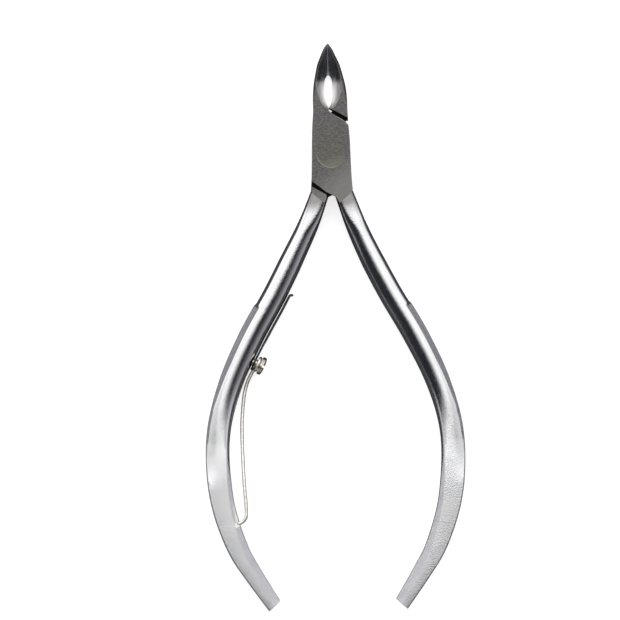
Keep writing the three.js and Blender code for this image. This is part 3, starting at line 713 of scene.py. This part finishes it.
BOWL_STATIONS = 70
BOWL_ARC_STEPS = 44
BOWL_FIRST_STATION = 0.01  # just past the hollow's lower end, where it has no width
BOWL_LAST_STATION = 0.6  # past the tip
BOWL_STATION_POWER = 1.3  # closer stations towards the joint
BOWL_RISE_POWER = 1.6  # how late the floor rises towards the tip
BOWL_HALF_WIDTH = 2.3
BOWL_LEAST_WIDTH = 0.1
BOWL_RIM = 0.5  # land between the hollow and the outside of the jaw
BOWL_RIM_NARROWING = 0.5  # share of that land lost at the tip
BOWL_WIDTH_END_Y = 19.9  # the jaw's width is read no nearer the tip than this
BOWL_SHIFT = 0.6  # share of the closing line's offset that the hollow starts with
BOWL_ABOVE_FACE = 0.02
BOWL_CUT_HEIGHT = 2  # above the front face


def bowl():
    """Spoon-shaped hollow ground into the front of both jaws."""
    end_y = TIP_Y + BOWL_LAST_STATION
    rings = []
    for i in range(BOWL_STATIONS):
        t = i / (BOWL_STATIONS - 1)
        y = BOWL_END_Y + BOWL_FIRST_STATION + (end_y - BOWL_END_Y) * t ** BOWL_STATION_POWER
        reach = (BOWL_CENTRE_Y - y) / (BOWL_CENTRE_Y - BOWL_END_Y)
        towards_joint = math.sqrt(1 - reach ** 2) if y < BOWL_CENTRE_Y else 1
        towards_tip = max(0, (y - BOWL_CENTRE_Y) / (TIP_Y - BOWL_CENTRE_Y))
        rise = (BOWL_TIP_FLOOR_Z - BOWL_FLOOR_Z) * towards_tip ** BOWL_RISE_POWER
        floor = THICK - (THICK - BOWL_FLOOR_Z) * towards_joint + rise
        rim = BOWL_RIM * (1 - BOWL_RIM_NARROWING * towards_tip)
        narrowing = max(jaw_reach(min(y, BOWL_WIDTH_END_Y)) - rim, BOWL_LEAST_WIDTH)
        wide = BOWL_HALF_WIDTH * towards_joint if y < BOWL_CENTRE_Y else narrowing
        middle = mix(midline(y), CLOSING_X, BOWL_SHIFT)
        ring = []
        for k in range(BOWL_ARC_STEPS + 1):
            angle = math.pi * k / BOWL_ARC_STEPS
            z = THICK + BOWL_ABOVE_FACE - (THICK - floor) * math.sin(angle)
            ring.append((middle - wide * math.cos(angle), y, z))
        ring.append((middle + wide, y, THICK + BOWL_CUT_HEIGHT))
        ring.append((middle - wide, y, THICK + BOWL_CUT_HEIGHT))
        rings.append(ring)
    return loft(rings, POLISHED)


# Right side of the opening as two curves' control points: (share of the half width, y).
RELIEF_CURVES = (
    ((0, 8.1), (0.8, 9.1), (1.05, 10.4), (1, 12)),
    ((1, 12), (1, 13.3), (0.7, 13.9), (0, 14.2)),
)
RELIEF_STEPS = 20


def relief_opening():
    """Opening right through the closed jaws, blunt towards the tip and pointed towards the joint."""
    right = []
    for curve in RELIEF_CURVES:
        knots = [Vector((CLOSING_X + share * RELIEF_HALF_WIDTH, y, 0)) for share, y in curve]
        right += interpolate_bezier(*knots, RELIEF_STEPS)[:-1]
    right = [(p.x, p.y) for p in right] + [(CLOSING_X, RELIEF_CURVES[-1][-1][1])]
    left = [(2 * CLOSING_X - x, y) for x, y in reversed(right[1:-1])]
    return prism(right + left, -OVERRUN, THICK + OVERRUN, POLISHED)


# ---- Levers ----

RIVET_SHANK_RADIUS = 1.8
RIVET_HEAD_HEIGHT = 0.9
RIVET_RING_GAP = 0.016  # round the head, where it is ground flush
RIVET_SHANK_GAP = 0.06


def rivet_profile(head_clearance, shank_clearance, overrun):
    head = RIVET_RADIUS + head_clearance
    shank = RIVET_SHANK_RADIUS + shank_clearance
    return [
        (0, -overrun), (head, -overrun), (head, 0), (shank, RIVET_HEAD_HEIGHT),
        (shank, THICK - RIVET_HEAD_HEIGHT), (head, THICK), (head, THICK + overrun), (0, THICK + overrun),
    ]


def at_screw(upwards, out, height=0.0):
    return SCREW_SEAT + UP_HANDLE * upwards + SCREW_AXIS * out + UP * height


def screw_matrix(upwards, out, height=0.0):
    matrix = Matrix((UP_HANDLE, -SCREW_AXIS, UP)).transposed().to_4x4()
    matrix.translation = at_screw(upwards, out, height)
    return matrix


SHADE_HALF_WIDTH = 3.3  # only faces inside this box round the rivet get painted shade
SHADE_BOTTOM, SHADE_TOP = -8.2, 8.7
LAP_FACE_TOLERANCE = 0.06  # a face this near mid-thickness belongs to a lap
WALL_TILT = 0.05  # most that a slot's wall leans
WALL_TURN = 0.3  # least that it faces along the tool
WALL_START = 5  # the slots are further than this from the rivet


def paint_shade_on_laps(body):
    """The hidden faces of the laps and the walls of the slots beside them get painted shade, near-black.
    """
    for face in body.data.polygons:
        x, y, z = face.center
        in_joint = abs(x) < SHADE_HALF_WIDTH and SHADE_BOTTOM < y < SHADE_TOP
        inner_face = abs(z - MID_Z) < LAP_FACE_TOLERANCE
        upright = abs(face.normal.z) < WALL_TILT
        wall = upright and abs(face.normal.y) > WALL_TURN and abs(y) > WALL_START
        # painted shade: these faces are made near-black where the levers shadow each other
        if in_joint and (inner_face or wall):
            face.material_index = DARK
    return body


ROD_SIDES = 64
KEEP_CLEAR = (8, 4, 20)  # block that keeps a lever off the other jaw's side of the closing line
KEEP_CLEAR_Y = 10.2


def rod(radius, start, end, surface=GROUND):
    """Round bar along the screw's axis, from one distance out to another."""
    profile = [(0, start), (radius, start), (radius, end), (0, end)]
    return turned(profile, at_screw(0, 0), SCREW_AXIS, ROD_SIDES, surface)


def screw_hole(start, end, surface=GROUND):
    return rod(SCREW_SHANK_RADIUS + SCREW_HOLE_CLEARANCE, start, end, surface)


def lever(side, lap_bottom, lap_top):
    """Lever with its handle on one side, +1 right, and its jaw on the other."""
    outline = [(side * x, y) for x, y in LAP_OUTLINE]
    root = [(side * x, y) for x, y in ROOT_OUTLINE]
    body = prism(outline, lap_bottom, lap_top, GROUND, LAP_FREE_EDGES)
    combine(body, "UNION", prism(root, 0, THICK), jaw(-side), handle(side))
    clear_x = CLOSING_X - side * (EDGE_GAP / 2) + side * KEEP_CLEAR[0] / 2
    other_jaw = block(KEEP_CLEAR, Matrix.Translation((clear_x, KEEP_CLEAR_Y, 0)))
    hole = turned(rivet_profile(RIVET_RING_GAP, RIVET_SHANK_GAP, OVERRUN))
    combine(body, "DIFFERENCE", other_jaw, bowl(), relief_opening(), hole)
    return paint_shade_on_laps(body)


def front_lever():
    body = lever(1, MID_Z + LAP_GAP / 2, THICK)
    return finish_piece(body, "front_lever_forging", "front_half", "front_lever")


SCREW_END_GAP = 0.3  # left beyond the end of the shank
NOTCH_CENTRE = (-17.8, -66.42)  # notch in the left handle that holds the wire's bent tip
NOTCH_ANGLE = math.radians(20)
NOTCH_SIZE = (1.6, 0.9, 4)
NOTCH_GAP = 0.12  # under the wire's tip


def rear_lever():
    body = lever(-1, 0, MID_Z - LAP_GAP / 2)
    hole = screw_hole(-SCREW_SHANK_DEPTH - SCREW_END_GAP, OVERRUN, SATIN)
    notch_z = MID_Z + WIRE_TIP_RISE - WIRE_RADIUS - NOTCH_GAP + NOTCH_SIZE[2] / 2
    place = Matrix.Translation((*NOTCH_CENTRE, notch_z)) @ Matrix.Rotation(NOTCH_ANGLE, 4, "Z")
    filed = prism(FILED_CORNER, -OVERRUN, THICK + OVERRUN)
    combine(body, "DIFFERENCE", filed, hole, block(NOTCH_SIZE, place, SATIN))
    return finish_piece(body, "rear_lever_forging", "rear_half", "rear_lever")


def pivot_rivet():
    body = only_material(turned(rivet_profile(0, 0, 0)), RIVET_MATERIAL)
    return finish_piece(body, "flush_rivet", "rear_half", "pivot_rivet")


# ---- Spring set ----

SCREW_SIDES = 72
SCREW_EDGE_BREAK = 0.08  # small chamfer under the head
DOME_STEPS = 12
DOME_FLAT = 0.05  # radius of the flat at the top of the head
SLOT_LENGTH = 4  # each arm of the cross slot runs right across the head
SLOT_WIDTH = 0.5
SLOT_DEPTH = 0.5


def spring_screw():
    radius = SCREW_HEAD_RADIUS
    top = SCREW_HEAD_EDGE + SCREW_HEAD_DOME
    dome = []
    for i in range(DOME_STEPS + 1):
        angle = i / DOME_STEPS * math.pi / 2
        dome.append((radius * math.cos(angle), SCREW_HEAD_EDGE + SCREW_HEAD_DOME * math.sin(angle)))
    end = -SCREW_UNDERSIDE - SCREW_SHANK_DEPTH
    profile = [
        (0, end), (SCREW_SHANK_RADIUS, end), (SCREW_SHANK_RADIUS, 0),
        (radius - SCREW_EDGE_BREAK, 0), (radius, SCREW_EDGE_BREAK),
        *dome[:-1], (DOME_FLAT, top), (0, top),
    ]
    body = turned(profile, at_screw(0, SCREW_UNDERSIDE), SCREW_AXIS, SCREW_SIDES)
    place = screw_matrix(0, SCREW_UNDERSIDE + top)
    lengthwise = block((SLOT_LENGTH, 2 * SLOT_DEPTH, SLOT_WIDTH), place)
    upright = block((SLOT_WIDTH, 2 * SLOT_DEPTH, SLOT_LENGTH), place)
    combine(body, "DIFFERENCE", lengthwise, upright)
    body = only_material(body, SCREW_MATERIAL)
    return finish_piece(body, "head_screw", "rear_half", "spring_screw")


EDGE_SAMPLES = 1500


def inner_edge(upwards):
    """Inner edge of the left handle at a distance up from the screw, and the way inwards."""
    target = at_screw(upwards, 0)
    spine, direction = evenly(smooth_curve([(x, y, 0) for x, y in HANDLE_SPINE]), EDGE_SAMPLES)
    best = None
    for point, tangent in zip(spine, direction):
        centre = Vector((-point[0] + midline(point[1]), point[1], MID_Z))
        inward = -Vector((tangent[1], tangent[0], 0))
        edge = centre + inward * along(HANDLE_WIDTH, point[1]) / 2
        distance = (edge - target).length
        if best is None or distance < best[0]:
            best = (distance, edge, inward)
    return best[1], best[2]


LIFT_START, LIFT_END = 2, 5  # the leaf lifts off its seat between these, up from the screw
CURL_ANGLES = (30, 60, 90, 120)
LEAF_RINGS = 120
LEAF_CORNER = 0.08  # taken off the long edges
LEAF_SWELL = 0.08  # added on the free side, away from the screw
SWELL_START, SWELL_END = 0.25, 0.4  # shares of the leaf's length between which that grows


def spring_leaf():
    middle = []
    for upwards in LEAF_STATIONS:
        edge, inward = inner_edge(upwards)
        gap = mix(LEAF_SEAT_GAP, LEAF_STANDOFF, smoothstep(upwards, LIFT_START, LIFT_END))
        middle.append(edge + inward * (gap + LEAF_THICKNESS / 2))
    curl_centre = middle[-1] + SCREW_AXIS * LEAF_CURL_RADIUS
    for degrees in CURL_ANGLES:
        angle = math.radians(degrees)
        back = SCREW_AXIS * LEAF_CURL_RADIUS * math.cos(angle)
        middle.append(curl_centre - back + UP_HANDLE * LEAF_CURL_RADIUS * math.sin(angle))
    at, direction = evenly(smooth_curve(middle), LEAF_RINGS)
    rings = []
    corner = LEAF_CORNER
    tall = LEAF_WIDTH / 2
    for index, (point, tangent) in enumerate(zip(at, direction)):
        across = Vector((tangent[1], -tangent[0], 0))
        near = -LEAF_THICKNESS / 2
        far = LEAF_THICKNESS / 2 + LEAF_SWELL * smoothstep(index / len(at), SWELL_START, SWELL_END)
        profile = [
            (near, -tall + corner), (near, tall - corner), (near + corner, tall), (far - corner, tall),
            (far, tall - corner), (far, -tall + corner), (far - corner, -tall), (near + corner, -tall),
        ]
        rings.append([Vector(point) + across * a + UP * z for a, z in profile])
    body = loft(rings)
    combine(body, "UNION", rod(LEAF_TAB_RADIUS, LEAF_SEAT_GAP, LEAF_SEAT_GAP + LEAF_THICKNESS))
    combine(body, "DIFFERENCE", screw_hole(-OVERRUN, SCREW_UNDERSIDE))
    body = only_material(body, STRIP_MATERIAL)
    return finish_piece(body, "spring_strip", "rear_half", "spring_leaf")


EYELET_START, EYELET_END, EYELET_STEP = 370, 90, 14  # degrees round the screw
WIRE_RINGS = 520
WIRE_SIDES = 20
WIRE_ROUNDING = 5  # rings that round off each end
WIRE_END_ROUNDING = 0.9  # how far they close it
WIRE_SMOOTH_ANGLE = 60


def spring_wire():
    out = SCREW_UNDERSIDE - EYELET_GAP - WIRE_RADIUS
    points = []
    for degrees in range(EYELET_START, EYELET_END - 1, -EYELET_STEP):
        angle = math.radians(degrees)
        points.append(at_screw(-EYELET_RADIUS * math.cos(angle), out, -EYELET_RADIUS * math.sin(angle)))
    points += [Vector((x, y, MID_Z + rise)) for x, y, rise in WIRE_ARM]
    at, direction = evenly(smooth_curve(points), WIRE_RINGS)
    rings = []
    across = UP.cross(Vector(direction[0])).normalized()
    for index, (point, tangent) in enumerate(zip(at, direction)):
        tangent = Vector(tangent)
        across = (across - tangent * across.dot(tangent)).normalized()
        other = tangent.cross(across)
        from_end = min(index, len(at) - 1 - index)
        closing = 1 - min((from_end + 1) / WIRE_ROUNDING, 1)
        radius = WIRE_RADIUS * math.sqrt(1 - closing ** 2 * WIRE_END_ROUNDING)
        ring = []
        for k in range(WIRE_SIDES):
            angle = math.tau * k / WIRE_SIDES
            ring.append(Vector(point) + (across * math.cos(angle) + other * math.sin(angle)) * radius)
        rings.append(ring)
    body = only_material(loft(rings), WIRE_MATERIAL)
    return finish_piece(
        body, "return_spring", "return_spring", "spring_wire", WIRE_SMOOTH_ANGLE)


# ---- Stage ----

CAMERA_LENS = 200
CAMERA_SENSOR = 36
FRAME_WIDTH = 111.9  # width of the picture at the handles' mid-thickness
FRAME_CENTRE = (-4.34, -28.17)
CAMERA_ROLL = math.radians(-1.11)
CLIP_START, CLIP_END = 0.01, 20  # metres


def camera():
    data = bpy.data.cameras.new("camera")
    data.lens = CAMERA_LENS
    data.sensor_width = CAMERA_SENSOR
    distance = FRAME_WIDTH * CAMERA_LENS / CAMERA_SENSOR
    view = bpy.data.objects.new("camera", data)
    bpy.context.scene.collection.objects.link(view)
    view.location = Vector((*FRAME_CENTRE, MID_Z + distance)) * MM
    view.rotation_euler = (0, 0, CAMERA_ROLL)
    data.clip_start = CLIP_START
    data.clip_end = CLIP_END
    bpy.context.scene.camera = view


FLOOR_HALF_SIZE = 3.0  # metres
FLOOR_DROP = 0.05  # below the nipper's rear face
FLOOR_GLOW = 0.72
FLOOR_SEEN = (0.8, 0.8, 0.8)
FLOOR_REFLECTED = (0.08, 0.08, 0.085)  # darker in reflections, so that it doesn't bleach the steel


def floor():
    """Pale floor under the nipper. It shows pure white, with a faint contact shadow."""
    half = FLOOR_HALF_SIZE
    corners = [(-half, -half, 0), (half, -half, 0), (half, half, 0), (-half, half, 0)]
    mesh = bpy.data.meshes.new("floor")
    mesh.from_pydata(corners, [], [(0, 1, 2, 3)])
    plane = bpy.data.objects.new("floor", mesh)
    bpy.context.scene.collection.objects.link(plane)
    plane.location.z = -FLOOR_DROP * MM
    material = bpy.data.materials.new("pale_floor")
    material.use_nodes = True
    g = Graph(material.node_tree)
    seen = g.add("ShaderNodeLightPath").outputs["Is Camera Ray"]
    lit = g.add("ShaderNodeBsdfDiffuse", {"Color": g.blend(seen, FLOOR_REFLECTED, FLOOR_SEEN)})
    glow = g.add("ShaderNodeEmission", {"Strength": g.math("MULTIPLY", seen, FLOOR_GLOW)})
    both = g.add("ShaderNodeAddShader", {0: lit.outputs[0], 1: glow.outputs[0]})
    g.add("ShaderNodeOutputMaterial", {"Surface": both.outputs[0]})
    mesh.materials.append(material)


DARK_SKY = (0.020, 0.021, 0.026)
DARK_HORIZON = (0.022, 0.022, 0.027)
GREY_HORIZON = (0.30, 0.29, 0.31)
PALE_HORIZON = (0.66, 0.65, 0.70)
REAR_LIGHT = (0.46, 0.455, 0.48)


def studio():
    """Soft light from above and from the jaws' side, and a grey horizon.

    The sky has a dark band towards the handle ends, with a grey light low down beyond it.
    """
    world = bpy.data.worlds.new("studio")
    bpy.context.scene.world = world
    world.use_nodes = True
    g = Graph(world.node_tree)
    way = g.add("ShaderNodeSeparateXYZ", {0: g.add("ShaderNodeTexCoord").outputs["Generated"]})
    x, y, z = way.outputs
    sideways = g.ramp(g.math("ABSOLUTE", x), 0.08, 0.5, 1.0, 0.62)
    level = g.math("MULTIPLY", g.ramp(y, 0.08, 0.35, 1.22, 2.1), sideways)
    dark = g.ramp(g.math("MULTIPLY", y, -1.0), 0.08, 0.13)
    bright = g.add("ShaderNodeCombineColor", {0: level, 1: level, 2: level}).outputs[0]
    sky = g.blend(dark, bright, DARK_SKY)
    below = g.blend(g.ramp(x, -0.2, 0.2), DARK_HORIZON, GREY_HORIZON)
    edge = g.blend(g.ramp(y, -0.42, -0.18), below, PALE_HORIZON)
    reach = g.ramp(x, 0.1, 0.45, 0.3, 0.85)  # the grey horizon reaches higher on the right
    front = g.blend(g.ramp(z, 0.12, reach), edge, sky)
    behind = g.ramp(g.math("MULTIPLY", y, -1.0), 0.5, 0.72)
    colour = g.blend(behind, front, REAR_LIGHT)
    back = g.add("ShaderNodeBackground", {"Color": colour, "Strength": 1.0})
    g.add("ShaderNodeOutputWorld", {"Surface": back.outputs[0]})
    bpy.context.scene.view_settings.view_transform = "Standard"


camera()
studio()
floor()
front_lever()
rear_lever()
pivot_rivet()
spring_leaf()
spring_screw()
spring_wire()
